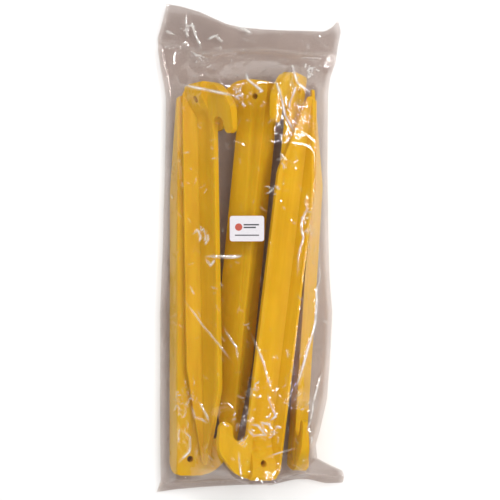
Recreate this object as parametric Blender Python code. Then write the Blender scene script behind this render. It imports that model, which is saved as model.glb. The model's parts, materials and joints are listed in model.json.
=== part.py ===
"""Six moulded plastic tent pegs sealed in a clear pillow bag, with a small label.

Units are millimetres until mm() turns a mesh into metres. The bag lies on the plane z = 0,
+Y runs along the bag towards its header flap and +X runs across it.
"""

import math
from collections import namedtuple

import bmesh
import bpy
import numpy as np
from mathutils import Matrix, Vector
from mathutils.bvhtree import BVHTree

# Peg: X across the web from its folded edge to the hook, Y from the point to the head, Z to the front.
PEG_LENGTH = 305.0
WEB_WIDTH = 24.0
WEB_THICK = 2.5
RIM_WIDTH = 4.5
RIM_THICK = 4.2
BACK_STEP = 0.4
FLANGE_DEPTH = 15.5
FLANGE_THICK = 2.2
FLANGE_SPLAY = math.radians(12)
FLANGE_TAPER = 77.0
FLANGE_START = 1.5
FLANGE_LOW = 3.0
FLANGE_ROUND = 40.0
FLANGE_CORNER = 10.0
POINT_TAPER = 62.0
POINT_WIDTH = 5.0
POINT_ROUND = 2.3
TAPER_ROUND = 25.0
RIM_START = 9.0
HEAD_WIDTH = 48.5
HOOK_REACH = 43.0
SLOT_END = 29.0
SLOT_WIDTH = 12.0
HOOK_ARM = 10.2
HOOK_ROUND = 18.0
SHOULDER = 21.0
CROWN_X = 31.0
CROWN_DROP = 2.5
CROWN_ROUND = 24.0
END_SLOPE = 4.0
RAMP_LENGTH = 33.0
RAMP_HEIGHT = 13.6
RAMP_LANDING = 7.0
HEAD_THICK = 9.0
HOLE_RADIUS = 2.6
HOLE_FROM_HEAD = 13.5
HOLE_FROM_RIM = 13.5
TALL = 30.0
OVERLAP = 0.15

# Bag: a lay-flat tube of thin film, welded across both ends. Each row gives y and the tube's two sides.
FILM = 0.5
GAP = 0.4
SIDES = [
    (-187.0, -72.0, 58.0), (-170.0, -72.5, 52.5), (-150.0, -73.0, 56.0), (-120.0, -73.0, 62.5),
    (-50.0, -73.0, 66.5), (0.0, -71.0, 64.0), (100.0, -68.5, 63.0), (130.0, -69.0, 63.5),
    (160.0, -75.0, 70.0),
]
FOLD_HEIGHT = 5.0
SEAL_HEIGHT = 3.0
FOLD_RUN = 6.0
COLUMNS = 27
ROWS = 44
BAND_COLUMNS = 14
HEADER_ROWS = 6
FOOT_ROWS = 3
BAND_WAVE = 1.5
WAVE_TURNS = 9.0
PULL_STEPS = 1500
HEADER_TOP = [(-73.0, 199.0), (-66.0, 198.5), (-42.0, 193.0), (-18.0, 184.0), (10.0, 180.0), (72.0, 178.5)]
FOOT_BOTTOM = [
    (-80.0, -193.5), (-60.0, -192.0), (0.0, -190.0), (30.0, -188.5), (50.0, -191.0), (80.0, -189.0),
]
LABEL_CENTRE = (-2.4, 17.5)
LABEL_SIZE = (27.2, 20.2)
LABEL_THICK = 0.3
LABEL_GAP = 0.6
LABEL_COLUMNS = 9
LABEL_ROWS = 7

# Whether the head lies towards +Y and the front faces up, then degrees that the right-hand side is raised,
# degrees of yaw, the centre, and degrees of pitch that raise the +Y end.
Pose = namedtuple("Pose", "head_up front_up roll yaw x y lift pitch")
PEGS = {
    "peg_left_lower": Pose(False, False, roll=-16, yaw=0, x=-46.4, y=-28, lift=15, pitch=-1),
    "peg_middle_lower": Pose(True, False, roll=28, yaw=-5.6, x=-11.2, y=-15, lift=19.25, pitch=2),
    "peg_right_upper": Pose(True, False, roll=-62, yaw=-6, x=24.6, y=-10.5, lift=21.5, pitch=0),
    "peg_right_lower": Pose(False, False, roll=80, yaw=-3.6, x=41.4, y=-22, lift=18.75, pitch=0),
    "peg_left_upper": Pose(True, True, roll=50, yaw=1, x=-31, y=-18.5, lift=23, pitch=-1),
    "peg_front": Pose(False, True, roll=-25, yaw=-6.8, x=21, y=-28, lift=31.25, pitch=0),
}


def clear_scene():
    for ob in list(bpy.data.objects):
        bpy.data.objects.remove(ob)


def arc_corner(before, corner, after, radius, steps=5):
    """Points of a round corner, or the corner itself where the radius is nothing."""
    corner = Vector(corner)
    to_before = (Vector(before) - corner).normalized()
    to_after = (Vector(after) - corner).normalized()
    half = to_before.angle(to_after) / 2
    if radius <= 0 or half > math.radians(89.5):
        return [tuple(corner)]
    reach = radius / math.tan(half)
    centre = corner + (to_before + to_after).normalized() * radius / math.sin(half)
    start = corner + to_before * reach - centre
    sweep = start.angle_signed(corner + to_after * reach - centre)
    points = []
    for step in range(steps + 1):
        spoke = start.copy()
        spoke.rotate(Matrix.Rotation(-sweep * step / steps, 2))
        points.append(tuple(centre + spoke))
    return points


def outline(corners):
    """A closed outline from (x, y, radius) corners."""
    points = []
    for i, (x, y, radius) in enumerate(corners):
        before = corners[i - 1][:2]
        after = corners[(i + 1) % len(corners)][:2]
        points += arc_corner(before, (x, y), after, radius)
    return points


def prism(points, low, high):
    """A closed prism on an XY outline that runs anticlockwise."""
    bm = bmesh.new()
    base = bm.faces.new([bm.verts.new((x, y, low)) for x, y in points])
    grown = bmesh.ops.extrude_face_region(bm, geom=[base])["geom"]
    top = [v for v in grown if isinstance(v, bmesh.types.BMVert)]
    bmesh.ops.translate(bm, verts=top, vec=(0, 0, high - low))
    bmesh.ops.recalc_face_normals(bm, faces=bm.faces)
    return bm


def side_prism(points, low, high):
    """A closed prism on a YZ outline, running from x = low to x = high."""
    bm = prism(points, low, high)
    turn = Matrix(((0, 0, 1, 0), (1, 0, 0, 0), (0, 1, 0, 0), (0, 0, 0, 1)))
    bmesh.ops.transform(bm, matrix=turn, verts=bm.verts)
    bmesh.ops.recalc_face_normals(bm, faces=bm.faces)
    return bm


def to_object(bm, name):
    mesh = bpy.data.meshes.new(name)
    bm.to_mesh(mesh)
    bm.free()
    ob = bpy.data.objects.new(name, mesh)
    bpy.context.scene.collection.objects.link(ob)
    return ob


def combine(base, other, operation):
    """Applies a Boolean to base and removes the other object."""
    cut = base.modifiers.new("cut", "BOOLEAN")
    cut.operation = operation
    cut.object = other
    cut.solver = "EXACT"
    bpy.context.view_layer.update()
    graph = bpy.context.evaluated_depsgraph_get()
    mesh = bpy.data.meshes.new_from_object(base.evaluated_get(graph))
    base.modifiers.clear()
    base.data = mesh
    bpy.data.objects.remove(other)
    return base


def web():
    """The flat strip of the peg, from its blunt point to the head."""
    return to_object(prism(outline([
        (0, 0, POINT_ROUND),
        (POINT_WIDTH, 0, POINT_ROUND),
        (WEB_WIDTH, POINT_TAPER, TAPER_ROUND),
        (WEB_WIDTH, PEG_LENGTH - 1.5 * END_SLOPE, 0),
        (0.6 * WEB_WIDTH, PEG_LENGTH, 0),
        (0, PEG_LENGTH - 1, POINT_ROUND),
    ]), 0, WEB_THICK), "web")


def hook_and_rim():
    """The raised rim along the web and the hook plate, which grows thicker towards the head end."""
    inner = WEB_WIDTH - RIM_WIDTH
    slot_y = PEG_LENGTH - SLOT_END
    tip_y = PEG_LENGTH - HOOK_REACH
    slant = (WEB_WIDTH - POINT_WIDTH) / POINT_TAPER
    slot_round = SLOT_WIDTH / 2 - 0.1
    tip_round = HOOK_ARM / 2 - 0.2
    corners = [
        (POINT_WIDTH + slant * RIM_START, RIM_START, 0),
        (WEB_WIDTH, POINT_TAPER, TAPER_ROUND),
        (WEB_WIDTH, slot_y, slot_round),
        (WEB_WIDTH + SLOT_WIDTH, slot_y, slot_round),
        (HEAD_WIDTH - HOOK_ARM, tip_y, tip_round),
        (HEAD_WIDTH, tip_y, tip_round),
        (HEAD_WIDTH, PEG_LENGTH - SHOULDER, HOOK_ROUND),
        (CROWN_X, PEG_LENGTH - CROWN_DROP, CROWN_ROUND),
        (inner, PEG_LENGTH, 0),
        (inner, POINT_TAPER, TAPER_ROUND),
        (POINT_WIDTH + slant * RIM_START - 0.6 * RIM_WIDTH, RIM_START, 0),
    ]
    plate = to_object(prism(outline(corners), BACK_STEP, TALL), "plate")
    profile = [
        (-1, -TALL), (PEG_LENGTH + 1, -TALL), (PEG_LENGTH + 1, HEAD_THICK - END_SLOPE),
        (PEG_LENGTH - END_SLOPE, HEAD_THICK), (PEG_LENGTH - HOOK_REACH, RIM_THICK), (-1, RIM_THICK),
    ]
    return combine(plate, to_object(side_prism(profile, -TALL, 2 * TALL), "profile"), "INTERSECT")


def ramp():
    """The floor between flange and hook plate, which rises to a solid striking end."""
    start = PEG_LENGTH - RAMP_LENGTH
    under_rim = WEB_WIDTH - RIM_WIDTH + 0.5
    sunk = WEB_THICK - 0.4
    block = to_object(prism(outline([
        (0, start - 3, 0), (under_rim, start - 3, 0), (under_rim, PEG_LENGTH, 0),
        (0.6, PEG_LENGTH - 0.6, POINT_ROUND),
    ]), BACK_STEP, TALL), "block")
    for vertex in block.data.vertices:
        if vertex.co.x < 1:
            vertex.co.x += FLANGE_THICK / 2 - vertex.co.z * math.tan(FLANGE_SPLAY)
    run = RAMP_LENGTH - RAMP_LANDING
    profile = [(start - 10, -TALL), (PEG_LENGTH + 1, -TALL), (PEG_LENGTH + 1, RAMP_HEIGHT - END_SLOPE + 1)]
    profile.append((PEG_LENGTH - END_SLOPE + 1, RAMP_HEIGHT))
    steps = 7
    for step in range(steps + 1):
        rise = 1 - step / steps
        ease = rise * rise * (3 - 2 * rise)
        profile.append((start + run * rise, sunk + (RAMP_HEIGHT - sunk) * ease))
    profile.append((start - 10, sunk))
    return combine(block, to_object(side_prism(profile, -TALL, 2 * TALL), "profile"), "INTERSECT")


def flange():
    """The upright side of the peg, which leans outwards and runs down to the point."""
    end = PEG_LENGTH - FLANGE_START
    bm = side_prism(outline([
        (FLANGE_START, OVERLAP, 0),
        (end, OVERLAP, 0),
        (end, FLANGE_DEPTH, FLANGE_CORNER),
        (FLANGE_TAPER, FLANGE_DEPTH, FLANGE_ROUND),
        (FLANGE_START, FLANGE_LOW, 0.4 * FLANGE_LOW),
    ]), 0, FLANGE_THICK)
    bmesh.ops.rotate(bm, verts=bm.verts, matrix=Matrix.Rotation(-FLANGE_SPLAY, 3, "Y"))
    return to_object(bm, "flange")


def peg_mesh():
    """One whole moulding, centred on its web."""
    peg = combine(web(), hook_and_rim(), "UNION")
    peg = combine(peg, ramp(), "UNION")
    peg = combine(peg, flange(), "UNION")
    bm = bmesh.new()
    bmesh.ops.create_cone(
        bm, cap_ends=True, segments=20, radius1=HOLE_RADIUS, radius2=HOLE_RADIUS, depth=2 * TALL,
    )
    bmesh.ops.translate(bm, verts=bm.verts, vec=(WEB_WIDTH - HOLE_FROM_RIM, PEG_LENGTH - HOLE_FROM_HEAD, 0))
    peg = combine(peg, to_object(bm, "hole"), "DIFFERENCE")
    bm = bmesh.new()
    bm.from_mesh(peg.data)
    bmesh.ops.remove_doubles(bm, verts=bm.verts, dist=0.02)
    bmesh.ops.translate(bm, verts=bm.verts, vec=(-WEB_WIDTH / 2, -PEG_LENGTH / 2, 0))
    bmesh.ops.triangulate(bm, faces=bm.faces)
    mesh = bpy.data.meshes.new("peg")
    bm.to_mesh(mesh)
    bm.free()
    bpy.data.objects.remove(peg)
    return mesh


def turned(degrees, axis):
    return Matrix.Rotation(math.radians(degrees), 4, axis)


def peg_matrix(pose):
    """Where a peg lies: turned end for end or face down, then leant, turned and lifted."""
    flip = Matrix.Identity(4)
    if pose.head_up and not pose.front_up:
        flip = turned(180, "Y")
    if not pose.head_up and pose.front_up:
        flip = turned(180, "Z")
    if not pose.head_up and not pose.front_up:
        flip = turned(180, "X")
    turn = turned(pose.yaw, "Z") @ turned(pose.pitch, "X") @ turned(-pose.roll, "Y")
    return Matrix.Translation((pose.x, pose.y, pose.lift)) @ turn @ flip


def at(stations, value, column=1):
    """Reads a column of stations at a value of their first column, with straight runs between."""
    return float(np.interp(value, [row[0] for row in stations], [row[column] for row in stations]))


def crowded(share):
    """Spreads shares from 0 to 1 so that they lie closer together towards both ends."""
    return 0.4 * share + 0.6 * (0.5 - 0.5 * math.cos(math.pi * share))


def tube_plan():
    """x and y of the tube's lattice: columns run from side to side and rows from seal to seal."""
    plan = np.zeros((COLUMNS, ROWS, 2))
    for j in range(ROWS):
        y = SIDES[0][0] + (SIDES[-1][0] - SIDES[0][0]) * crowded(j / (ROWS - 1))
        left = at(SIDES, y, 1)
        right = at(SIDES, y, 2)
        for i in range(COLUMNS):
            plan[i, j] = (left + (right - left) * crowded(i / (COLUMNS - 1)), y)
    return plan


def sheet(name, plan, upper, lower):
    """A closed thin solid between two heights over one lattice."""
    columns, rows = upper.shape
    bm = bmesh.new()
    layers = []
    for heights in (upper, lower):
        layers.append([
            [bm.verts.new((plan[i, j, 0], plan[i, j, 1], heights[i, j])) for j in range(rows)]
            for i in range(columns)
        ])
    top, base = layers
    for i in range(columns - 1):
        for j in range(rows - 1):
            bm.faces.new((top[i][j], top[i + 1][j], top[i + 1][j + 1], top[i][j + 1]))
            bm.faces.new((base[i][j], base[i][j + 1], base[i + 1][j + 1], base[i + 1][j]))
    border = [(i, 0) for i in range(columns)] + [(columns - 1, j) for j in range(1, rows)]
    border += [(i, rows - 1) for i in range(columns - 2, -1, -1)] + [(0, j) for j in range(rows - 2, 0, -1)]
    for k, (i, j) in enumerate(border):
        m, n = border[(k + 1) % len(border)]
        bm.faces.new((top[i][j], base[i][j], base[m][n], top[m][n]))
    bmesh.ops.recalc_face_normals(bm, faces=bm.faces)
    bmesh.ops.triangulate(bm, faces=bm.faces)
    return to_object(bm, name)


def world_tree(objects):
    """One search tree over objects as they stand."""
    verts = []
    faces = []
    for ob in objects:
        start = len(verts)
        verts += [ob.matrix_world @ v.co for v in ob.data.vertices]
        faces += [[start + v for v in face.vertices] for face in ob.data.polygons]
    return BVHTree.FromPolygons(verts, faces)


def tops(tree, plan):
    """The height of what stands below each lattice point or within about a cell of it."""
    columns, rows = plan.shape[:2]
    fine = np.full((3 * columns, 3 * rows), -1.0)
    for i in range(3 * columns):
        for j in range(3 * rows):
            u = min(max((i - 1) / 3, 0), columns - 1)
            v = min(max((j - 1) / 3, 0), rows - 1)
            a = min(int(u), columns - 2)
            b = min(int(v), rows - 2)
            cell = plan[a, b] * (1 - u + a) * (1 - v + b) + plan[a + 1, b] * (u - a) * (1 - v + b)
            cell = cell + plan[a, b + 1] * (1 - u + a) * (v - b) + plan[a + 1, b + 1] * (u - a) * (v - b)
            hit = tree.ray_cast((cell[0], cell[1], 200), (0, 0, -1))[0]
            if hit is not None:
                fine[i, j] = hit.z
    reach = 5
    wide = np.pad(fine, reach, constant_values=-1)
    coarse = np.full((columns, rows), -1.0)
    for i in range(columns):
        for j in range(rows):
            centre = (3 * i + 1 + reach, 3 * j + 1 + reach)
            coarse[i, j] = wide[
                centre[0] - reach:centre[0] + reach + 1, centre[1] - reach:centre[1] + reach + 1
            ].max()
    return coarse


def stretched_over(obstacle):
    """A skin held at its border and pulled tight over an obstacle."""
    height = obstacle.copy()
    for _ in range(PULL_STEPS):
        mean = (height[:-2, 1:-1] + height[2:, 1:-1] + height[1:-1, :-2] + height[1:-1, 2:]) / 4
        height[1:-1, 1:-1] = np.maximum(obstacle[1:-1, 1:-1], mean)
    return height


def front_heights(tree, plan, back_low):
    """Clear of everything inside the bag, and just above the back film along the border."""
    least = back_low + FILM + GAP
    obstacle = np.maximum(tops(tree, plan) + 2 * GAP, least)
    obstacle[0] = least[0]
    obstacle[-1] = least[-1]
    obstacle[:, 0] = least[:, 0]
    obstacle[:, -1] = least[:, -1]
    return stretched_over(obstacle)


def back_heights(plan):
    """Flat on the ground, turned up to the side folds and to the two seals."""
    columns, rows = plan.shape[:2]
    height = np.zeros((columns, rows))
    for i in range(columns):
        for j in range(rows):
            from_side = min(plan[i, j, 0] - plan[0, j, 0], plan[-1, j, 0] - plan[i, j, 0])
            from_end = min(plan[i, j, 1] - plan[i, 0, 1], plan[i, -1, 1] - plan[i, j, 1])
            side = max(0.0, 1 - from_side / FOLD_RUN) ** 2 * FOLD_HEIGHT
            end = max(0.0, 1 - from_end / FOLD_RUN) ** 2 * SEAL_HEIGHT
            height[i, j] = max(side * min(1.0, from_end / FOLD_RUN), end)
    return height


def band(name, near_y, far_edge, rows):
    """A welded double layer from a seal line out to the cut edge of the bag."""
    columns = BAND_COLUMNS
    plan = np.zeros((columns, rows, 2))
    left = at(SIDES, near_y, 1)
    right = at(SIDES, near_y, 2)
    far_left = far_edge[0][0]
    far_right = far_edge[-1][0]
    heights = np.zeros((columns, rows))
    for i in range(columns):
        across = i / (columns - 1)
        for j in range(rows):
            along = j / (rows - 1)
            near_x = left + (right - left) * across
            far_x = far_left + (far_right - far_left) * across
            plan[i, j] = (near_x + (far_x - near_x) * along, near_y + (at(far_edge, far_x) - near_y) * along)
            heights[i, j] = SEAL_HEIGHT + BAND_WAVE * along * math.sin(WAVE_TURNS * across + 1)
    if far_edge[0][1] < near_y:
        plan = plan[:, ::-1]
        heights = heights[:, ::-1]
    return sheet(name, plan, heights + FILM, heights - FILM)


def label(front):
    """A rounded sticker that follows the film beneath it."""
    tree = world_tree([front])
    columns, rows = LABEL_COLUMNS, LABEL_ROWS
    plan = np.zeros((columns, rows, 2))
    heights = np.zeros((columns, rows))
    for i in range(columns):
        for j in range(rows):
            u = 2 * i / (columns - 1) - 1
            v = 2 * j / (rows - 1) - 1
            corner = 1 - 0.05 * (abs(u) * abs(v)) ** 8
            x = LABEL_CENTRE[0] + u * corner * LABEL_SIZE[0] / 2
            y = LABEL_CENTRE[1] + v * corner * LABEL_SIZE[1] / 2
            plan[i, j] = (x, y)
            heights[i, j] = tree.ray_cast((x, y, 200), (0, 0, -1))[0].z
    floor = heights + LABEL_GAP
    return sheet("label_sticker", plan, floor + LABEL_THICK, floor)


def material(name, colour, roughness, alpha=1.0):
    made = bpy.data.materials.new(name)
    made.use_nodes = True
    shader = made.node_tree.nodes["Principled BSDF"]
    shader.inputs["Base Color"].default_value = (*colour, 1)
    shader.inputs["Roughness"].default_value = roughness
    shader.inputs["Alpha"].default_value = alpha
    return made


def place_on_origin(objects):
    """Turns millimetres into metres and puts the middle of the underside on the origin."""
    bpy.context.view_layer.update()
    corners = [ob.matrix_world @ v.co for ob in objects for v in ob.data.vertices]
    low = Vector([min(c[k] for c in corners) for k in range(3)])
    high = Vector([max(c[k] for c in corners) for k in range(3)])
    shift = Matrix.Translation((-(low.x + high.x) / 2, -(low.y + high.y) / 2, -low.z))
    metres = Matrix.Scale(0.001, 4)
    done = set()
    for ob in objects:
        if ob.data.name not in done:
            ob.data.transform(metres)
            done.add(ob.data.name)
        stands = shift @ ob.matrix_world
        stands.translation *= 0.001
        ob.matrix_world = stands


def build():
    clear_scene()
    yellow = material("yellow_plastic", (0.72, 0.36, 0.02), 0.35)
    clear = material("clear_film", (0.62, 0.55, 0.48), 0.15, 0.35)
    paper = material("white_sticker", (0.9, 0.9, 0.92), 0.5)
    shared = peg_mesh()
    shared.materials.append(yellow)
    pegs = []
    for name, pose in PEGS.items():
        peg = bpy.data.objects.new(name, shared)
        peg.matrix_world = peg_matrix(pose)
        bpy.context.scene.collection.objects.link(peg)
        pegs.append(peg)
    bpy.context.view_layer.update()
    plan = tube_plan()
    back_low = back_heights(plan)
    front_low = front_heights(world_tree(pegs), plan, back_low)
    front = sheet("bag_front_film", plan, front_low + FILM, front_low)
    back = sheet("bag_back_film", plan, back_low + FILM, back_low)
    header = band("bag_header_seal", SIDES[-1][0] + GAP, HEADER_TOP, HEADER_ROWS)
    foot = band("bag_foot_seal", SIDES[0][0] - GAP, FOOT_BOTTOM, FOOT_ROWS)
    films = [front, back, header, foot]
    for film in films:
        film.data.materials.append(clear)
    sticker = label(front)
    sticker.data.materials.append(paper)
    place_on_origin(pegs + films + [sticker])


build()
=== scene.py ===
"""The looks of a pack of plastic tent pegs: six yellow mouldings in a creased clear pillow bag.

Lengths are millimetres until MM turns them into the frame's metres.
"""

import json
import math

import bmesh
import bpy
import numpy as np
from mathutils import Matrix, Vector
from mathutils.bvhtree import BVHTree


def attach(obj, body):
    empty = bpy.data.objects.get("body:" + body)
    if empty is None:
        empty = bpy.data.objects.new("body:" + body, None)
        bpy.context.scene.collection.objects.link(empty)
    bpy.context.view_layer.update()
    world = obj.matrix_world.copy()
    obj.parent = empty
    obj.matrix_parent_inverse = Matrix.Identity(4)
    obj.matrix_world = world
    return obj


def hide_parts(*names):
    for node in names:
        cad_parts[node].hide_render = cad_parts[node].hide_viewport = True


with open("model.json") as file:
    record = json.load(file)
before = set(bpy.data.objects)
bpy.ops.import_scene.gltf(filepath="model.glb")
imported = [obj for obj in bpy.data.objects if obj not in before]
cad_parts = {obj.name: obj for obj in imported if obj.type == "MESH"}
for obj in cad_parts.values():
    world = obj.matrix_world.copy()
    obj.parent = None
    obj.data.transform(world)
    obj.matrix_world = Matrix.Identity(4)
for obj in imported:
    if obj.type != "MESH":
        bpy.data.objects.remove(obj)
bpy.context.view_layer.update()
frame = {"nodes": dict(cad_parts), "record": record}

MM = 0.001
PEGS = [
    "peg_left_lower", "peg_middle_lower", "peg_right_upper", "peg_right_lower", "peg_left_upper", "peg_front",
]
FILMS = ["bag_front_film", "bag_back_film", "bag_header_seal", "bag_foot_seal"]

# Bag outline, in stations: the two folded sides as (y, x), the cut edges and the header weld as (x, y).
LEFT_SIDE = [
    (-199, -76), (-189, -72.6), (-172, -72.8), (-150, -73), (-123, -73.2), (-90, -73), (-53, -73.2),
    (-20, -71.8), (0, -70.8), (30, -70.2), (60, -69.2), (98, -68.6), (122, -68.4), (133, -70.2), (146, -72.8),
    (158, -74.6), (170, -75.2), (185, -70.8), (197, -67.6),
]
RIGHT_SIDE = [
    (-191, 75.5), (-186, 76.6), (-181, 74.8), (-176, 64), (-171, 54.5), (-160, 53.4), (-150, 56.4),
    (-123, 62.5), (-90, 65), (-53, 66.8), (-25, 64.6), (0, 63.8), (60, 62.8), (98, 63), (126, 63.4),
    (138, 65.2), (150, 69.5), (164, 71.6), (175, 73.8), (184, 71.2),
]
TOP_EDGE = [
    (-67.6, 197), (-62, 196), (-55, 194.8), (-41, 191.4), (-28, 185.8), (-19, 181.8), (-6.5, 178.6),
    (11, 176.9), (37, 176.4), (60, 175.4), (66, 177.5), (71.2, 184),
]
FOOT_EDGE = [
    (-76, -199), (-60, -196.4), (-44, -195), (-28, -194.2), (0, -192.6), (17, -191.6), (22, -192),
    (36, -188.6), (48, -188.4), (62, -191.6), (75.5, -191),
]
HEADER_WELD = [(-75, 168), (-53, 163), (-37, 157.6), (-10, 160.5), (14, 161), (39, 157.4), (71, 157.4)]
FOOT_WELD_IN = 4.2  # from the cut foot edge in to its weld
WELD_WIDTH = 1.7
MIDDLE_X = (-73.0, 66.0)  # the sides' usual places, which the header weld is read between

# Film: how it rises off the floor and over the pegs.
FOLD_Z = 5.0  # the side folds' height, and the width that they rise over
FOLD_RUN = 5.0
WELD_Z = 3.4  # the same beside the welds
WELD_RUN = 6.0
LAYER_GAP = 0.35  # between front and back where they lie together
FLOOR_GAP = 0.25
CLEAR = 0.35  # least room over a peg
SMOOTH_SIDE = 5  # creases fade out this near a side fold, the label and the header weld
SMOOTH_LABEL = 6
SMOOTH_WELD = 3
NOTHING = -50.0  # the height where no peg is under the film
ACROSS = 1.0  # how hard the film pulls across and along the bag
ALONG = 0.22
COARSE_ROUNDS = 900
FINE_ROUNDS = 260

# Film mesh.
COLUMNS = 171
BACK_COLUMNS = 33
FLAP_ROWS = 30
FOOT_ROWS = 9
BODY_ROWS = 420

# Film looks.
BOTH_SIDES = 1.3  # a thin film mirrors from both of its faces
MOST_MIRROR = 0.20
FILM_INDEX = 1.5
WELD_HAZE = 0.09
CREST_GLINT_PAINT = 0.95  # painted glint: the film's white haze is raised this far along fold crests to stand for glints of light
# The back layer is the same film painted darker than the front: painted shade for the dim ground seen through
# the bag.
FRONT_TINT = (0.92, 0.885, 0.87, 1.0)
SHADED_BACK_TINT = (0.71, 0.655, 0.63, 1.0)


def read(stations, value):
    """Straight runs between stations of rising first value."""
    rows = sorted(stations)
    return np.interp(value, [r[0] for r in rows], [r[1] for r in rows])


def eased(stations, value):
    """The same with rounded corners: the mean of readings just around the value."""
    return sum(read(stations, value + step) for step in (-3.0, -1.5, 0.0, 1.5, 3.0)) / 5


def link(name, mesh):
    """A new object in the scene for this mesh."""
    ob = bpy.data.objects.new(name, mesh)
    bpy.context.scene.collection.objects.link(ob)
    return ob


# ---------------------------------------------------------------- pegs

EDGE_ROUND = 0.42  # the radius that the mould leaves
END_READ = 45  # the length at each end whose girth tells the head from the point


def peg_frame(node):
    """The peg's head end and its lengthwise, crosswise and upright directions, read from its solid."""
    points = np.array([v.co for v in frame["nodes"][node].data.vertices]) / MM
    joint = next(j for j in frame["record"]["behaviour"]["joints"] if j["child"] == node)
    along = np.array(joint["axis"], float)
    along /= np.linalg.norm(along)
    place = points @ along
    low, high = place.min(), place.max()
    near_low = points[place < low + END_READ]
    near_high = points[place > high - END_READ]

    def girth(part):
        flat = part - np.outer(part @ along, along)
        return (flat.max(0) - flat.min(0)).sum()

    head = low
    if girth(near_high) > girth(near_low):
        along = -along
        head = -high
    flat = points - np.outer(points @ along, along)
    centre = flat.mean(0)
    spread = np.linalg.svd(flat - centre, full_matrices=False)[2]
    across = spread[0]
    upright = np.cross(along, across)
    return head, along, across, upright, centre


def write_vectors(mesh, name, values):
    layer = mesh.attributes.new(name, "FLOAT_VECTOR", "POINT")
    layer.data.foreach_set("vector", np.ascontiguousarray(values, np.float32).ravel())


def write_floats(mesh, name, values):
    layer = mesh.attributes.new(name, "FLOAT", "POINT")
    layer.data.foreach_set("value", np.ascontiguousarray(values, np.float32).ravel())


def moulded_peg(node, plastic):
    """The peg's solid with the small radius that a mould leaves on every edge."""
    bm = bmesh.new()
    bm.from_mesh(frame["nodes"][node].data)
    bmesh.ops.remove_doubles(bm, verts=bm.verts, dist=0.00003)
    bmesh.ops.dissolve_limit(
        bm, angle_limit=math.radians(1.2), verts=bm.verts, edges=bm.edges, use_dissolve_boundaries=False)
    mesh = bpy.data.meshes.new(node + "_moulded")
    bm.to_mesh(mesh)
    bm.free()
    mesh.materials.clear()
    peg = link(node + "_moulded", mesh)
    bevel = peg.modifiers.new("edge_round", "BEVEL")
    bevel.width = EDGE_ROUND * MM
    bevel.segments = 2
    bevel.limit_method = "ANGLE"
    bevel.angle_limit = math.radians(28)
    bevel.use_clamp_overlap = True
    bpy.context.view_layer.update()
    graph = bpy.context.evaluated_depsgraph_get()
    done = bpy.data.meshes.new_from_object(peg.evaluated_get(graph))
    peg.modifiers.clear()
    peg.data = done
    done.shade_smooth()
    done.set_sharp_from_angle(angle=math.radians(32))
    head, along, across, upright, centre = peg_frame(node)
    points = np.array([v.co for v in done.vertices]) / MM
    from_centre = points - centre
    place = np.stack([points @ along - head, from_centre @ across, from_centre @ upright], 1)
    write_vectors(done, "peg_place", place)
    done.materials.append(plastic)
    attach(peg, node)
    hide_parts(node)
    return peg


# ---------------------------------------------------------------- materials


class Graph:
    """A short way to write a node tree."""

    def __init__(self, name):
        self.material = bpy.data.materials.new(name)
        self.material.use_nodes = True
        self.tree = self.material.node_tree
        self.tree.nodes.clear()
        self.out = self.tree.nodes.new("ShaderNodeOutputMaterial")

    def add(self, kind, out=0, settings=None, **inputs):
        node = self.tree.nodes.new("ShaderNode" + kind)
        for key, value in (settings or {}).items():
            setattr(node, key, value)
        for key, value in inputs.items():
            socket = node.inputs[int(key[1:])] if key[0] == "_" else node.inputs[key.replace("_", " ")]
            if isinstance(value, bpy.types.NodeSocket):
                self.tree.links.new(value, socket)
            else:
                socket.default_value = value
        return node.outputs[out]

    def maths(self, operation, *values):
        inputs = {f"_{i}": value for i, value in enumerate(values)}
        return self.add("Math", settings={"operation": operation}, **inputs)

    def ramp(self, value, *stops):
        node = self.tree.nodes.new("ShaderNodeValToRGB")
        node.color_ramp.elements.remove(node.color_ramp.elements[0])
        for i, (place, colour) in enumerate(stops):
            element = node.color_ramp.elements[0] if i == 0 else node.color_ramp.elements.new(place)
            element.position = place
            element.color = (*colour, 1)
        self.tree.links.new(value, node.inputs[0])
        return node.outputs[0]

    def finish(self, shader):
        self.tree.links.new(shader, self.out.inputs["Surface"])
        return self.material


PIN_SPACING = 48.0  # the mould's ejector pins leave faint discs along the peg
PIN_RADII = (2.12, 2.74)  # where a disc's edge starts and ends
GLOW_RED_GREEN_BLUE = (1.0, 0.42, 0.06)  # how far each colour spreads inside the plastic
GLOW_REACH = 0.0035


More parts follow.
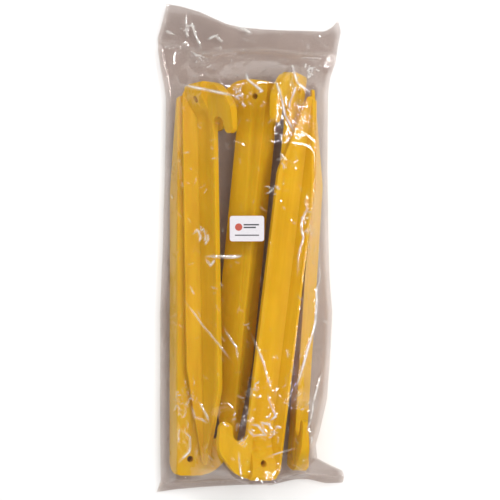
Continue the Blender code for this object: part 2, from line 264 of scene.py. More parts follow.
def peg_plastic():
    """Yellow moulded plastic: flow clouds and streaks along the peg, rubbed specks and ejector-pin discs."""
    g = Graph("moulded_peg_plastic")
    place = g.add("Attribute", out=1, settings={"attribute_name": "peg_place"})
    flow = g.add("Mapping", Vector=place, Scale=(0.012, 0.09, 0.09))
    cloud = g.add("TexNoise", Vector=flow, Scale=1.0, Detail=3.0, Roughness=0.55)
    streak_place = g.add("Mapping", Vector=place, Scale=(0.01, 0.9, 0.9))
    streak = g.add("TexNoise", Vector=streak_place, Scale=1.0, Detail=2.0, Roughness=0.6)
    speck = g.add("TexNoise", Vector=place, Scale=0.9, Detail=2.0, Roughness=0.7)
    base = g.ramp(
        cloud, (0.30, (0.73, 0.43, 0.011)), (0.50, (0.79, 0.485, 0.014)), (0.70, (0.84, 0.53, 0.018)))
    streaks = g.ramp(streak, (0.35, (0.97, 0.955, 0.93)), (0.65, (1.0, 1.0, 1.0)))
    colour = g.add("Mix", out=2, settings={"data_type": "RGBA", "blend_type": "MULTIPLY"},
                   Factor=1.0, _6=base, _7=streaks)
    specks = g.ramp(speck, (0.60, (0.0, 0.0, 0.0)), (0.80, (1.0, 1.0, 1.0)))
    roughness = g.add("MapRange", Value=cloud, To_Min=0.30, To_Max=0.46)
    rubbed = g.maths("MULTIPLY_ADD", specks, 0.12, roughness)
    grain = g.add("TexNoise", Vector=place, Scale=1.6, Detail=3.0)
    grain_bump = g.add("Bump", Strength=0.35, Distance=0.00010, Height=grain)
    flow_bump = g.add("Bump", Strength=0.3, Distance=0.00008, Height=streak, Normal=grain_bump)
    parts = g.add("SeparateXYZ", Vector=place)
    lengthwise = parts
    crosswise = parts.node.outputs[1]
    repeat = g.maths("PINGPONG", lengthwise, PIN_SPACING / 2)
    from_pin = g.maths("ADD", g.maths("POWER", repeat, 2.0), g.maths("POWER", crosswise, 2.0))
    ring = g.add("MapRange", Value=from_pin, From_Min=PIN_RADII[0] ** 2, From_Max=PIN_RADII[1] ** 2)
    pin_bump = g.add("Bump", Strength=0.6, Distance=0.00012, Height=ring, Normal=flow_bump)
    shader = g.add(
        "BsdfPrincipled", Base_Color=colour, Roughness=rubbed, Normal=pin_bump, IOR=1.49,
        Specular_IOR_Level=0.12, Subsurface_Weight=0.45, Subsurface_Radius=GLOW_RED_GREEN_BLUE,
        Subsurface_Scale=GLOW_REACH)
    return g.finish(shader)


def clear_film():
    """Polythene: a tint that is painted darker on the back layer as shade, a mirror that grows to its edges,
    a little haze, whiter welds, and white haze painted along the fold crests as glints.
    """
    g = Graph("clear_film")
    place = g.add("TexCoord", out=3)
    layer = g.add("Attribute", out=2, settings={"attribute_name": "front"})
    # Painted shade: the back layer takes a darker copy of the film's tint.
    tint = g.add("Mix", out=2, settings={"data_type": "RGBA"}, Factor=layer, _6=SHADED_BACK_TINT, _7=FRONT_TINT)
    weld = g.add("Attribute", out=2, settings={"attribute_name": "weld"})
    soft = g.add("TexNoise", Vector=place, Scale=70.0, Detail=3.0, Roughness=0.5)
    fine = g.add("TexNoise", Vector=place, Scale=420.0, Detail=2.0, Roughness=0.6)
    middling = g.add("TexNoise", Vector=place, Scale=170.0, Detail=2.0, Roughness=0.5)
    soft_bump = g.add("Bump", Strength=0.7, Distance=0.0006, Height=soft)
    middling_bump = g.add("Bump", Strength=0.5, Distance=0.00018, Height=middling, Normal=soft_bump)
    fine_bump = g.add("Bump", Strength=0.3, Distance=0.00012, Height=fine, Normal=middling_bump)
    rib = g.add("TexWave", settings={"wave_type": "BANDS", "bands_direction": "Y"}, Vector=place, Scale=260.0)
    ribs = g.maths("MULTIPLY", rib, weld)
    weld_bump = g.add("Bump", Strength=0.6, Distance=0.0002, Height=ribs, Normal=fine_bump)
    smear = g.add("TexNoise", Vector=place, Scale=26.0, Detail=4.0, Roughness=0.6)
    rough = g.add("MapRange", Value=smear, From_Min=0.35, From_Max=0.65, To_Min=0.035, To_Max=0.09)
    mottle = g.ramp(smear, (0.35, (0.95, 0.95, 0.95)), (0.62, (1.0, 1.0, 1.0)))
    uneven = g.add("Mix", out=2, settings={"data_type": "RGBA", "blend_type": "MULTIPLY"},
                   Factor=1.0, _6=tint, _7=mottle)
    clear = g.add("BsdfTransparent", Color=uneven)
    gloss = g.add("BsdfGlossy", Color=(1.0, 1.0, 1.0, 1.0), Roughness=rough, Normal=weld_bump)
    haze = g.add("BsdfDiffuse", Color=(0.93, 0.91, 0.88, 1.0), Normal=weld_bump)
    behind = g.add("NewGeometry", out=6)
    index = g.add("MapRange", Value=behind, To_Min=FILM_INDEX, To_Max=1 / FILM_INDEX)
    one_side = g.add("Fresnel", IOR=index, Normal=weld_bump)
    mirror = g.maths("MINIMUM", g.maths("MULTIPLY", one_side, BOTH_SIDES), MOST_MIRROR)
    smeared = g.add("MapRange", Value=smear, To_Min=0.001, To_Max=0.008)
    dull = g.maths("MULTIPLY_ADD", weld, WELD_HAZE, smeared)
    # Painted glint: along the fold crests the white haze is raised, broken up by noise, to stand for glints
    # of light on the folds.
    crest = g.add("Attribute", out=2, settings={"attribute_name": "crest"})
    patch = g.add("TexNoise", Vector=place, Scale=110.0, Detail=2.0)
    painted_glint = g.add("MapRange", Value=patch, From_Min=0.40, From_Max=0.60, To_Min=0.35, To_Max=CREST_GLINT_PAINT)
    haze_and_painted_glint = g.maths("MULTIPLY_ADD", crest, painted_glint, dull)
    body = g.add("MixShader", Fac=haze_and_painted_glint, _1=clear, _2=haze)
    return g.finish(g.add("MixShader", Fac=mirror, _1=body, _2=gloss))


# ---------------------------------------------------------------- film

CREASE_RISE = 1.5  # every fold's listed height is raised by this much
ENDS_LEFT = 0.15  # a fold keeps this share of its height at its ends
FLANK_POWER = 1.15
CREASED = 0.12  # film that a fold lifts by more than this keeps its sharp facets
CREST_RISE = 0.85  # film that a fold lifts by this much gets the full painted glint
# Folds of the front film, listed: height, half width and the points that the ridge runs through.
CREASES = [
    (0.75, 1.9, [(-60, 131), (-39, 125), (-12, 117), (-5, 111)]),
    (0.8, 1.8, [(32, 149), (37, 129), (51, 121)]),
    (0.7, 1.7, [(37, 129), (31, 113), (30, 104)]),
    (0.7, 1.7, [(-5, 141), (-2, 131), (9.5, 121), (2, 118)]),
    (0.8, 1.8, [(17, 135), (22, 123), (27, 103), (37, 85)]),
    (0.8, 1.8, [(-47, 9), (-42, 14), (-39, 9), (-41, 2)]),
    (0.8, 1.8, [(-34, 12), (-33, 6), (-36, 1)]),
    (0.9, 2.2, [(-38, -7.4), (-19, -7.6), (-3, -6.2)]),
    (0.8, 2.0, [(-36, -8), (-31, -14), (-27, -8)]),
    (0.7, 1.5, [(47, 50), (43, 36), (45, 30), (40, 18), (42, 8), (38, -6), (37, -29)]),
    (0.6, 1.4, [(-56, -36), (-50, -45), (-38, -61), (-24, -77), (-10, -94)]),
    (0.6, 1.4, [(-48, -29), (-43, -39)]),
    (0.7, 1.5, [(-1, -64), (9, -86), (13, -100), (19, -119)]),
    (0.9, 1.8, [(55, -2), (56, -24), (53, -33), (52, -60), (47, -76), (39, -103), (31, -123)]),
    (0.8, 1.6, [(59, -96), (53, -115), (46, -136), (44, -148)]),
    (0.7, 1.5, [(-47, -124), (-43, -134), (-31, -138)]),
    (0.7, 1.5, [(-42, -121), (-36, -128), (-31, -138)]),
    (0.8, 1.7, [(-56, -143), (-47, -150), (-48, -162), (-58, -174)]),
    (0.8, 1.7, [(-56, -143), (-57, -157)]),
    (0.8, 1.7, [(-5, -138), (3, -146), (12, -145), (6, -138), (-5, -138)]),
    (0.8, 1.7, [(6, -135), (15, -137), (16, -143)]),
    (0.7, 1.4, [(-9, -156), (-8, -170), (-7, -182)]),
    (0.6, 1.2, [(9, -164), (39, -154)]),
    (0.6, 1.3, [(20, 47), (24, 45)]),
    (0.8, 1.6, [(-37, 16), (-35, 9), (-36, 3)]),
    (0.7, 1.5, [(13, -112), (20, -131), (13, -137)]),
    (0.7, 1.4, [(-22, -60), (-11, -78), (-9, -92)]),
    (0.6, 1.3, [(23, 74), (27, 70)]),
]
FLAP_CREASES = [
    (0.8, 1.8, [(-69, 168), (-58, 163), (-52, 166), (-44, 156), (-31, 155)]),
    (0.7, 1.5, [(-52, 189), (-51, 171)]),
    (0.8, 1.7, [(-49, 186), (-44, 172), (-39, 161)]),
    (0.8, 1.9, [(-36, 168), (-28, 172), (-20, 166)]),
    (0.9, 2.4, [(-15, 181), (-4, 177), (4, 173)]),
    (0.7, 1.6, [(38, 153), (60, 153)]),
    (0.7, 1.8, [(-70, 176), (-60, 172)]),
]
# Crumpled spots: centre, radius, number of short folds, height.
CRUMPLES = [
    ((-6, 113), 6, 9, 0.6), ((11, 110), 3, 4, 0.6), ((50, 143), 8, 16, 0.7), ((37, 98), 5, 6, 0.5),
    ((-52, -119), 8, 18, 0.55), ((-6, -136), 7, 12, 0.6), ((12, -140), 8, 8, 0.6), ((20, -112), 7, 7, 0.6),
    ((42, -124), 4, 5, 0.6), ((-62, 164), 8, 14, 0.6), ((-42, 159), 8, 10, 0.6), ((32, 66), 7, 6, 0.5),
    ((46, 26), 6, 10, 0.6), ((60, -58), 3, 4, 0.5), ((50, -150), 4, 6, 0.7), ((-5, -152), 5, 8, 0.6),
    ((34, 128), 7, 7, 0.5), ((-60, -60), 12, 5, 0.4), ((-62, 60), 14, 6, 0.4), ((62, -150), 8, 5, 0.5),
    ((-51, 177), 6, 14, 0.7), ((-27, 162), 5, 10, 0.6), ((0, 173), 6, 10, 0.6), ((-68, 164), 4, 8, 0.6),
    ((-38, 151), 7, 12, 0.6), ((54, 168), 9, 8, 0.5), ((24, 166), 9, 6, 0.45), ((44, 108), 7, 10, 0.5),
    ((20, 96), 6, 8, 0.5), ((4, -112), 8, 12, 0.6), ((34, -100), 7, 9, 0.5), ((-37, 12), 4, 8, 0.6),
    ((0, 148), 12, 12, 0.5), ((-32, 146), 9, 9, 0.5), ((31, 150), 7, 8, 0.5), ((48, 140), 6, 10, 0.7),
    ((-54, -126), 6, 14, 0.7), ((0, -132), 6, 10, 0.7), ((16, -140), 6, 9, 0.7), ((27, 68), 4, 6, 0.6),
    ((18, 45), 4, 6, 0.7), ((-10, 118), 4, 7, 0.7), ((38, -118), 5, 7, 0.7), ((47, 12), 4, 9, 0.7),
]
STRAY_FOLDS = 210
STRAY_X = (-68, 60)
STRAY_Y = (-180, 178)
STRAY_TURNS = [-1.0, -0.6, -0.2, 1.2, 1.5]  # the ways that stray folds lean, in radians

LABEL_CENTRE = (-2.4, 14.75)
LABEL_SIZE = (27.0, 20.0)
LABEL_CORNER = 2.0
LABEL_THICK = 0.14
LABEL_GAP = 0.16  # over the film's bumps
LABEL_GRID = (41, 31)


def film_plan():
    """x and y of every film point: columns from the left fold to the right one, rows from foot to header."""
    across = np.linspace(0, 1, COLUMNS)
    x_guess = MIDDLE_X[0] + (MIDDLE_X[1] - MIDDLE_X[0]) * across
    top_x = TOP_EDGE[0][0] + (TOP_EDGE[-1][0] - TOP_EDGE[0][0]) * across
    foot_x = FOOT_EDGE[0][0] + (FOOT_EDGE[-1][0] - FOOT_EDGE[0][0]) * across
    top_y = read(TOP_EDGE, top_x)
    foot_y = read(FOOT_EDGE, foot_x)
    top_weld = eased(HEADER_WELD, x_guess)
    foot_weld = foot_y + FOOT_WELD_IN
    stages = [
        np.linspace(foot_y, foot_weld, FOOT_ROWS)[:-1],
        np.linspace(foot_weld, top_weld, BODY_ROWS)[:-1],
        np.linspace(top_weld, top_y, FLAP_ROWS),
    ]
    y = np.concatenate(stages).T
    left = read(LEFT_SIDE, y[0])
    right = read(RIGHT_SIDE, y[-1])
    side = across[:, None]
    x = left * (1 - side) + right * side
    return x, y, y - top_weld[:, None], y - foot_weld[:, None]


def swept_tree():
    """Everything that the pegs pass through as they slide from one limit to the other."""
    verts = []
    faces = []
    for joint in frame["record"]["behaviour"]["joints"]:
        mesh = frame["nodes"][joint["child"]].data
        axis = np.array(joint["axis"], float)
        axis /= np.linalg.norm(axis)
        points = np.array([v.co for v in mesh.vertices])
        low, high = joint["range_m"]
        for shift in (low, 0.0, high):
            start = len(verts)
            verts += [Vector(p) for p in points + axis * shift]
            faces += [[start + v for v in face.vertices] for face in mesh.polygons]
    return BVHTree.FromPolygons(verts, faces)


def tallest(tree, x, y):
    """The height of the highest thing under each film point, widened to its neighbours."""
    found = np.full(x.shape, NOTHING)
    down = Vector((0, 0, -1))
    for i in range(x.shape[0]):
        for j in range(x.shape[1]):
            hit = tree.ray_cast(Vector((x[i, j] * MM, y[i, j] * MM, 0.2)), down)[0]
            if hit is not None:
                found[i, j] = hit.z / MM
    for axis in (0, 1):
        ahead = np.roll(found, 1, axis)
        behind = np.roll(found, -1, axis)
        found = np.maximum(found, np.maximum(ahead, behind))
    return found


def settle(height, least, rounds):
    """Each point moves to its neighbours' mean, but not below what is under it."""
    for _ in range(rounds):
        sideways = height[:-2, 1:-1] + height[2:, 1:-1]
        lengthways = height[1:-1, :-2] + height[1:-1, 2:]
        mean = (ACROSS * sideways + ALONG * lengthways) / (2 * (ACROSS + ALONG))
        height[1:-1, 1:-1] = np.maximum(least[1:-1, 1:-1], mean)
    return height


def resampled(grid, columns, rows):
    """The grid read at other numbers of columns and rows."""
    u = np.linspace(0, grid.shape[0] - 1, columns)
    v = np.linspace(0, grid.shape[1] - 1, rows)
    a = np.minimum(u.astype(int), grid.shape[0] - 2)
    b = np.minimum(v.astype(int), grid.shape[1] - 2)
    s = (u - a)[:, None]
    t = (v - b)[None, :]
    low = grid[np.ix_(a, b)] * (1 - s) + grid[np.ix_(a + 1, b)] * s
    high = grid[np.ix_(a, b + 1)] * (1 - s) + grid[np.ix_(a + 1, b + 1)] * s
    return low * (1 - t) + high * t


def stretched_over(least):
    """A skin pulled tight over what is under it and held at its border, solved from coarse to fine."""
    columns, rows = least.shape
    height = None
    for step in (16, 8, 4, 2, 1):
        n = (columns - 1) // step + 1
        m = (rows - 1) // step + 1
        wide = np.full((n, m), NOTHING)
        pick_u = np.round(np.linspace(0, columns - 1, n)).astype(int)
        pick_v = np.round(np.linspace(0, rows - 1, m)).astype(int)
        for du in range(-(step // 2), step // 2 + 1):
            for dv in range(-(step // 2), step // 2 + 1):
                near_u = np.clip(pick_u + du, 0, columns - 1)
                near_v = np.clip(pick_v + dv, 0, rows - 1)
                wide = np.maximum(wide, least[np.ix_(near_u, near_v)])
        for edge in (np.s_[0, :], np.s_[-1, :], np.s_[:, 0], np.s_[:, -1]):
            wide[edge] = least[np.ix_(pick_u, pick_v)][edge]
        start = wide.copy() if height is None else np.maximum(resampled(height, n, m), wide)
        for edge in (np.s_[0, :], np.s_[-1, :], np.s_[:, 0], np.s_[:, -1]):
            start[edge] = wide[edge]
        height = settle(start, wide, COARSE_ROUNDS if step > 2 else FINE_ROUNDS)
    return height


def distance_to(x, y, points):
    """How far each film point is from a run of straight stretches, and how far along it, from 0 to 1."""
    best = np.full(x.shape, 1e9)
    along = np.zeros(x.shape)
    lengths = [math.dist(points[k], points[k + 1]) for k in range(len(points) - 1)]
    done = 0.0
    for k, length in enumerate(lengths):
        (ax, ay), (bx, by) = points[k], points[k + 1]
        t = np.clip(((x - ax) * (bx - ax) + (y - ay) * (by - ay)) / length ** 2, 0, 1)
        d = np.hypot(x - ax - t * (bx - ax), y - ay - t * (by - ay))
        nearer = d < best
        best = np.where(nearer, d, best)
        along = np.where(nearer, (done + t * length) / sum(lengths), along)
        done += length
    return best, along


def ridge(x, y, height, width, points):
    """A sharp fold that rises to its crest and fades out at both ends."""
    gap, along = distance_to(x, y, points)
    flank = np.clip(1 - gap / width, 0, 1)
    ends = np.clip(4 * along, ENDS_LEFT, 1) * np.clip(4 * (1 - along), ENDS_LEFT, 1)
    return CREASE_RISE * height * ends * flank ** FLANK_POWER


def wandering(points, random, reach=0.7):
    """The same run with a small random kink between each two points."""
    run = [points[0]]
    for (ax, ay), (bx, by) in zip(points, points[1:]):
        length = math.dist((ax, ay), (bx, by))
        side = random.uniform(-reach, reach) * min(1.0, length / 8)
        t = random.uniform(0.35, 0.65)
        kink_x = ax + (bx - ax) * t - (by - ay) / length * side
        kink_y = ay + (by - ay) * t + (bx - ax) / length * side
        run += [(kink_x, kink_y), (bx, by)]
    return run


def bent(px, py, turn, reach, bend, shift=0.0):
    """Three points of a short fold about a place: it turns by bend at its middle, which moves by shift."""
    start = (px - math.cos(turn) * reach, py - math.sin(turn) * reach)
    finish = (px + math.cos(turn + bend) * reach, py + math.sin(turn + bend) * reach)
    return [start, (px, py + shift), finish]


def folds(x, y):
    """The height that all creases and crumpled spots add to the smooth film."""
    random = np.random.default_rng(5)
    total = np.zeros(x.shape)
    for height, width, points in CREASES + FLAP_CREASES:
        total = np.maximum(total, ridge(x, y, height, width, wandering(points, random)))
    for (cx, cy), radius, number, height in CRUMPLES:
        near = (np.abs(x - cx) < radius + 12) & (np.abs(y - cy) < radius + 12)
        for _ in range(number):
            turn = random.uniform(0, math.pi)
            reach = random.uniform(1.5, 4.5)
            px = cx + random.normal(0, radius / 2)
            py = cy + random.normal(0, radius / 2)
            run = bent(px, py, turn, reach, 0.5)
            rise = ridge(x[near], y[near], height * random.uniform(0.5, 1), random.uniform(1.0, 1.6), run)
            total[near] = np.maximum(total[near], rise)
    for _ in range(STRAY_FOLDS):
        px = random.uniform(*STRAY_X)
        py = random.uniform(*STRAY_Y)
        turn = random.choice(STRAY_TURNS) + random.normal(0, 0.25)
        reach = random.uniform(1.5, 5.0)
        shift = random.normal(0, 0.3)
        run = bent(px, py, turn, reach, 0.3, shift)
        near = (np.abs(x - px) < 9) & (np.abs(y - py) < 9)
        rise = ridge(x[near], y[near], random.uniform(0.2, 0.5), random.uniform(0.9, 1.4), run)
        total[near] = np.maximum(total[near], rise)
    return total


def ripples(x, y, over_top, over_foot):
    """Shallow puckers that run away from both welds, and slow waves along the film."""
    into = np.exp(-np.abs(over_top) / 16) + np.exp(-np.abs(over_foot) / 13)
    pucker = np.sin(x / 3.1 + 1.3 * np.sin(y / 17)) + 0.6 * np.sin(x / 1.7 + 2 + np.sin(y / 9))
    slow = 0.35 * np.sin(x / 9 + y / 23) * np.sin(y / 31 + 0.8)
    return 0.38 * into * pucker + 0.25 * slow


def near_label(x, y, margin):
    """1 on the label, falling to 0 at the margin round it."""
    dx = np.maximum(np.abs(x - LABEL_CENTRE[0]) - LABEL_SIZE[0] / 2, 0)
    dy = np.maximum(np.abs(y - LABEL_CENTRE[1]) - LABEL_SIZE[1] / 2, 0)
    return np.clip(1 - np.hypot(dx, dy) / margin, 0, 1)


def flap_waves(x, y, over_top, over_foot):
    """How the header and the foot strip lie: long waves, and two curled corners of the header."""
    long_wave = 0.9 * np.sin(x / 11 + 0.6) * np.clip(over_top / 12, 0, 1)
    short_wave = 0.7 * np.sin(x / 7 + y / 9) * np.clip(over_top / 18, 0, 1)
    left_curl = 3.5 * np.exp(-((x + 62) / 14) ** 2)
    right_curl = 5.0 * np.exp(-((x - 71) / 7) ** 2)
    curl = np.clip(over_top / 22, 0, 1) ** 2 * (left_curl + right_curl)
    foot_wave = 0.8 * np.sin(x / 9 + 1) * np.clip(-over_foot / 4, 0, 1)
    return long_wave + short_wave + curl + foot_wave


def film_surfaces():
    """Heights of the front and the back film on one plan, and where it is welded, creased and whitened."""
    x, y, over_top, over_foot = film_plan()
    in_body = (over_top <= 0) & (over_foot >= 0)
    side = np.minimum(x - x[0], x[-1] - x)
    end = np.minimum(-over_top, over_foot)
    turned = FOLD_Z * np.clip(1 - side / FOLD_RUN, 0, 1) ** 2 * np.clip(end / WELD_RUN, 0, 1)
    risen = WELD_Z * np.clip(1 - np.maximum(end, 0) / WELD_RUN, 0, 1) ** 2
    back = np.maximum(turned, risen) + flap_waves(x, y, over_top, over_foot) + FLOOR_GAP
    border = back + LAYER_GAP
    least = np.where(in_body, np.maximum(tallest(swept_tree(), x, y) + CLEAR, border), border)
    body = np.flatnonzero(in_body.all(axis=0))
    inner = least[:, body[0]:body[-1] + 1]
    front = border.copy()
    front[:, body[0]:body[-1] + 1] = stretched_over(inner)
    held = np.clip(side / SMOOTH_SIDE, 0, 1) * (1 - near_label(x, y, SMOOTH_LABEL))
    free = held * np.clip(np.abs(over_top) / SMOOTH_WELD, 0.25, 1)
    creases = folds(x, y) * free
    extra = creases + ripples(x, y, over_top, over_foot) * free
    creased = creases > CREASED
    # Painted glint mask: the higher a fold lifts the film, the more white haze is painted along its crest to
    # stand for glints of light.
    crest = np.clip(creases / CREST_RISE, 0, 1) ** 3
    front = np.maximum(front + extra, np.maximum(least, border))
    flap_extra = np.where(over_top > 0, extra, 0)
    back = back + np.clip(flap_extra, 0, None) * 0.9
    parted = 0.5 * np.clip(over_top / 20, 0, 1) * (1 + np.sin(x / 6))
    front = np.where(in_body, front, back + LAYER_GAP + parted)
    weld = np.exp(-(over_top / WELD_WIDTH) ** 2) + np.exp(-(over_foot / WELD_WIDTH) ** 2)
    return x, y, front, back, weld, creased, crest


def bag_film():
    """One tube of film: the front, round the right fold, the back, and round the left fold again."""
    x, y, front, back, weld, creased, crest = film_surfaces()
    rows = x.shape[1]
    pick = np.round(np.linspace(COLUMNS - 1, 0, BACK_COLUMNS)).astype(int)[1:-1]
    ring_x = np.concatenate([x, x[pick]])
    ring_y = np.concatenate([y, y[pick]])
    ring_z = np.concatenate([front, back[pick]])
    middle = (front + back) / 2
    ring_z[0] = middle[0]
    ring_z[COLUMNS - 1] = middle[-1]
    ring_weld = np.concatenate([weld, weld[pick]])
    ring_front = np.concatenate([np.ones(x.shape), np.zeros(x[pick].shape)])
    ring_creased = np.concatenate([creased, np.zeros(x[pick].shape, bool)])
    ring_painted_glint = np.concatenate([crest, np.zeros(x[pick].shape)])
    count = ring_x.shape[0]
    points = np.stack([ring_x, ring_y, ring_z], -1).reshape(-1, 3) * MM
    quads = []
    for i in range(count):
        after = (i + 1) % count
        for j in range(rows - 1):
            quads.append((i * rows + j, after * rows + j, after * rows + j + 1, i * rows + j + 1))
    mesh = bpy.data.meshes.new("bag_film")
    mesh.from_pydata(points.tolist(), [], quads)
    mesh.update()
    flat = ring_creased | np.roll(ring_creased, -1, 0)
    flat = flat[:, :-1] | flat[:, 1:]
    mesh.polygons.foreach_set("use_smooth", ~flat.reshape(-1))
    write_floats(mesh, "weld", ring_weld)
    write_floats(mesh, "front", ring_front)
    # The painted glint mask goes to the film as its crest attribute.
    write_floats(mesh, "crest", ring_painted_glint)
    mesh.materials.append(clear_film())
    bag = link("bag_film", mesh)
    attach(bag, "bag")
    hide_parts(*FILMS)
    return x, y, front


def film_height(x, y, front, px, py):
    """The front film's height at a place, from the nearest points of its plan."""
    gap = (x - px) ** 2 + (y - py) ** 2
    near = np.argpartition(gap.ravel(), 4)[:4]
    share = 1 / (gap.ravel()[near] + 0.01)
    return float((front.ravel()[near] * share).sum() / share.sum())


# The generic mark on the label, in millimetres from its centre.
DISC_CENTRE = (-6.5, 1.2)
DISC_RADIUS = 2.9
# Each bar: its centre, half its length and half its width.
BARS = [(3.4, 3.0, 6.0, 0.55), (2.2, 0.9, 4.8, 0.55), (0.0, -5.2, 9.5, 0.45)]
RED_INK = (0.50, 0.09, 0.06, 1)
BLACK_INK = (0.06, 0.06, 0.07, 1)


def label_material():
    """White coated paper with a disc and three bars printed on it."""
    g = Graph("label_paper")
    place = g.add("TexCoord", out=3)
    fibre = g.add("TexNoise", Vector=place, Scale=900.0, Detail=3.0)
    paper = g.ramp(fibre, (0.3, (0.66, 0.63, 0.66)), (0.7, (0.72, 0.69, 0.72)))
    local = g.add("Attribute", out=1, settings={"attribute_name": "label_place"})
    parts = g.add("SeparateXYZ", Vector=local)
    u = parts
    v = parts.node.outputs[1]

    def bar(u0, v0, half_u, half_v):
        inside_u = g.maths("LESS_THAN", g.maths("ABSOLUTE", g.maths("SUBTRACT", u, u0)), half_u)
        inside_v = g.maths("LESS_THAN", g.maths("ABSOLUTE", g.maths("SUBTRACT", v, v0)), half_v)
        return g.maths("MULTIPLY", inside_u, inside_v)

    sideways = g.maths("SUBTRACT", u, DISC_CENTRE[0])
    upwards = g.maths("SUBTRACT", v, DISC_CENTRE[1])
    from_disc = g.maths("ADD", g.maths("POWER", sideways, 2.0), g.maths("POWER", upwards, 2.0))
    disc = g.maths("LESS_THAN", from_disc, DISC_RADIUS ** 2)
    bars = 0.0
    for sizes in BARS:
        bars = g.maths("ADD", bars, bar(*sizes))
    marked = g.add("Mix", out=2, settings={"data_type": "RGBA"}, Factor=disc, _6=paper, _7=RED_INK)
    print_colour = g.add("Mix", out=2, settings={"data_type": "RGBA"}, Factor=bars, _6=marked, _7=BLACK_INK)
    bump = g.add("Bump", Strength=0.2, Distance=0.00005, Height=fibre)
    shader = g.add(
        "BsdfPrincipled", Base_Color=print_colour, Roughness=0.38, Normal=bump, Coat_Weight=0.15)
    return g.finish(shader)


def label(x, y, front):
    """A thin sticker with round corners that bends with the film under it."""
    columns, rows = LABEL_GRID
    half_u = LABEL_SIZE[0] / 2
    half_v = LABEL_SIZE[1] / 2
    top = []
    base = []
    flat = []
    for i in range(columns):
        for j in range(rows):
            u = (2 * i / (columns - 1) - 1) * half_u
            v = (2 * j / (rows - 1) - 1) * half_v
            over_u = max(abs(u) - (half_u - LABEL_CORNER), 0) / LABEL_CORNER
            over_v = max(abs(v) - (half_v - LABEL_CORNER), 0) / LABEL_CORNER
            if over_u > 0 and over_v > 0:
                square = max(over_u, over_v)
                shrink = square / math.hypot(over_u, over_v)
                u = math.copysign(half_u - LABEL_CORNER + over_u * shrink * LABEL_CORNER, u)
                v = math.copysign(half_v - LABEL_CORNER + over_v * shrink * LABEL_CORNER, v)
            px = LABEL_CENTRE[0] + u
            py = LABEL_CENTRE[1] + v
            z = film_height(x, y, front, px, py) + LABEL_GAP
            top.append((px * MM, py * MM, (z + LABEL_THICK) * MM))
            base.append((px * MM, py * MM, z * MM))
            flat.append((u, v, 0))
    size = columns * rows
    faces = []
    for i in range(columns - 1):
        for j in range(rows - 1):
            a = i * rows + j
            b = a + rows
            faces.append((a, b, b + 1, a + 1))
            faces.append((size + a, size + a + 1, size + b + 1, size + b))
    border = [i * rows for i in range(columns)] + [(columns - 1) * rows + j for j in range(1, rows)]
    border += [i * rows + rows - 1 for i in range(columns - 2, -1, -1)] + [j for j in range(rows - 2, 0, -1)]
    for k, a in enumerate(border):
        b = border[(k + 1) % len(border)]
        faces.append((a, size + a, size + b, b))
    mesh = bpy.data.meshes.new("label_paper")
    mesh.from_pydata(top + base, [], faces)
    mesh.update()
    mesh.shade_smooth()
    mesh.set_sharp_from_angle(angle=math.radians(40))
    write_vectors(mesh, "label_place", np.array(flat + flat, float))
    mesh.materials.append(label_material())
    paper = link("label_paper", mesh)
    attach(paper, "bag")
    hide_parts("label_sticker")


# ---------------------------------------------------------------- stage

FLOOR_HALF = 4.0


def floor():
    """A plain, very slightly uneven white floor."""
    g = Graph("floor_white")
    place = g.add("TexCoord", out=3)
    cloud = g.add("TexNoise", Vector=place, Scale=3.0, Detail=2.0)
    white = g.ramp(cloud, (0.3, (0.86, 0.86, 0.86)), (0.7, (0.88, 0.88, 0.88)))
    g.finish(g.add("BsdfPrincipled", Base_Color=white, Roughness=0.9))
    mesh = bpy.data.meshes.new("floor")
    corners = [(FLOOR_HALF * i, FLOOR_HALF * j, 0) for i, j in ((-1, -1), (1, -1), (1, 1), (-1, 1))]
    mesh.from_pydata(corners, [], [(0, 1, 2, 3)])
    mesh.materials.append(g.material)
    link("floor", mesh)


def lamp(name, azimuth, elevation, distance, width, height, power):
    """An area light that faces the pack's middle; azimuth runs anticlockwise from +X."""
    data = bpy.data.lights.new(name, "AREA")
    data.shape = "RECTANGLE"
    data.size = width
    data.size_y = height
    data.energy = power
    light = bpy.data.objects.new(name, data)
    a = math.radians(azimuth)
    e = math.radians(elevation)
    towards = Vector((math.cos(e) * math.cos(a), math.cos(e) * math.sin(a), math.sin(e)))
    light.location = distance * towards
    light.rotation_euler = (-light.location).to_track_quat("-Z", "Y").to_euler()
    bpy.context.scene.collection.objects.link(light)
    return light


# Lamps: directions in degrees, sizes and distances in metres, power in watts.
KEY_AZIMUTHS = (3, 42, 81)
KEY_ELEVATION = 54
KEY_SIZE = (0.85, 0.06)
KEY_POWER = 3.0
# Azimuth and elevation of the thin lamps that the film's folds mirror.
GLINT_STRIPS = [
    (-72, 22), (-36, 24), (-36, 36), (0, 20), (0, 32), (0, 44), (36, 20), (36, 32), (36, 44),
    (72, 18), (108, 18),
]
GLINT_SIZE = (0.7, 0.02)
GLINT_POWER = 4.6
STRIP_DISTANCE = 1.3
# Name, azimuth, elevation, distance, size and power of the soft lamps.
FILLS = [
    ("fill_overhead", 90, 84, 1.9, 1.9, 6.8),
    ("fill_left", 195, 55, 1.7, 1.2, 3.3),
    ("fill_right", -15, 45, 1.7, 1.2, 3.2),
]
ROOM_LIGHT = 0.62
ROOM_GLOSS = (0.26, 0.05)  # what gloss sees near the horizon and overhead


def seen_only_by(light, objects, name):
    """Light linking: the lamp lights these objects and nothing else."""
    group = bpy.data.collections.new(name)
    for ob in objects:
        group.objects.link(ob)
    light.light_linking.receiver_collection = group


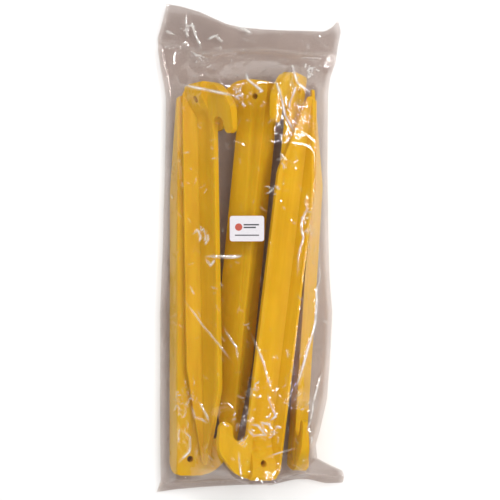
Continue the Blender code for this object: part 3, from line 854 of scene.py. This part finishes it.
def lights():
    """Soft light on everything, and rows of thin lamps that only the film mirrors in its folds."""
    film = bpy.data.objects["bag_film"]
    others = [ob for ob in bpy.context.scene.objects if ob.type == "MESH" and ob != film]
    for azimuth in KEY_AZIMUTHS:
        strip = lamp(f"strip_{azimuth}", azimuth, KEY_ELEVATION, STRIP_DISTANCE, *KEY_SIZE, KEY_POWER)
        seen_only_by(strip, others, f"strip_{azimuth}_lights")
    for azimuth, elevation in GLINT_STRIPS:
        name = f"glint_{azimuth}_{elevation}"
        glint = lamp(name, azimuth, elevation, STRIP_DISTANCE, *GLINT_SIZE, GLINT_POWER)
        glint.visible_diffuse = False
        seen_only_by(glint, [film], name + "_lights")
    for name, azimuth, elevation, distance, size, power in FILLS:
        lamp(name, azimuth, elevation, distance, size, size, power).visible_glossy = False
    studio_world()


def studio_world():
    """Even light from all round, which gloss sees as a dim room that is brighter near its horizon."""
    world = bpy.data.worlds.new("studio")
    world.use_nodes = True
    tree = world.node_tree
    place = tree.nodes.new("ShaderNodeTexCoord")
    height = tree.nodes.new("ShaderNodeSeparateXYZ")
    seen = tree.nodes.new("ShaderNodeMapRange")
    seen.inputs["From Min"].default_value = 0.1
    seen.inputs["From Max"].default_value = 0.9
    seen.inputs["To Min"].default_value = ROOM_GLOSS[0]
    seen.inputs["To Max"].default_value = ROOM_GLOSS[1]
    ray = tree.nodes.new("ShaderNodeLightPath")
    strength = tree.nodes.new("ShaderNodeMix")
    strength.inputs["A"].default_value = ROOM_LIGHT
    tree.links.new(place.outputs["Generated"], height.inputs[0])
    tree.links.new(height.outputs["Z"], seen.inputs["Value"])
    tree.links.new(ray.outputs["Is Glossy Ray"], strength.inputs["Factor"])
    tree.links.new(seen.outputs[0], strength.inputs["B"])
    back = tree.nodes["Background"]
    back.inputs["Color"].default_value = (1, 0.99, 0.98, 1)
    tree.links.new(strength.outputs[0], back.inputs["Strength"])
    bpy.context.scene.world = world


CAMERA_LENS = 90  # millimetres, as is the sensor
CAMERA_SENSOR = 36
CAMERA_PLACE = (0, -0.00207, 1.020)  # metres, straight over the pack


def camera():
    data = bpy.data.cameras.new("camera")
    data.lens = CAMERA_LENS
    data.sensor_width = CAMERA_SENSOR
    eye = bpy.data.objects.new("camera", data)
    eye.location = CAMERA_PLACE
    eye.rotation_euler = (0, 0, 0)
    bpy.context.scene.collection.objects.link(eye)
    bpy.context.scene.camera = eye


camera()
yellow = peg_plastic()
for node in PEGS:
    moulded_peg(node, yellow)
plan_x, plan_y, front_z = bag_film()
label(plan_x, plan_y, front_z)
floor()
lights()
bpy.context.scene.view_settings.view_transform = "Standard"
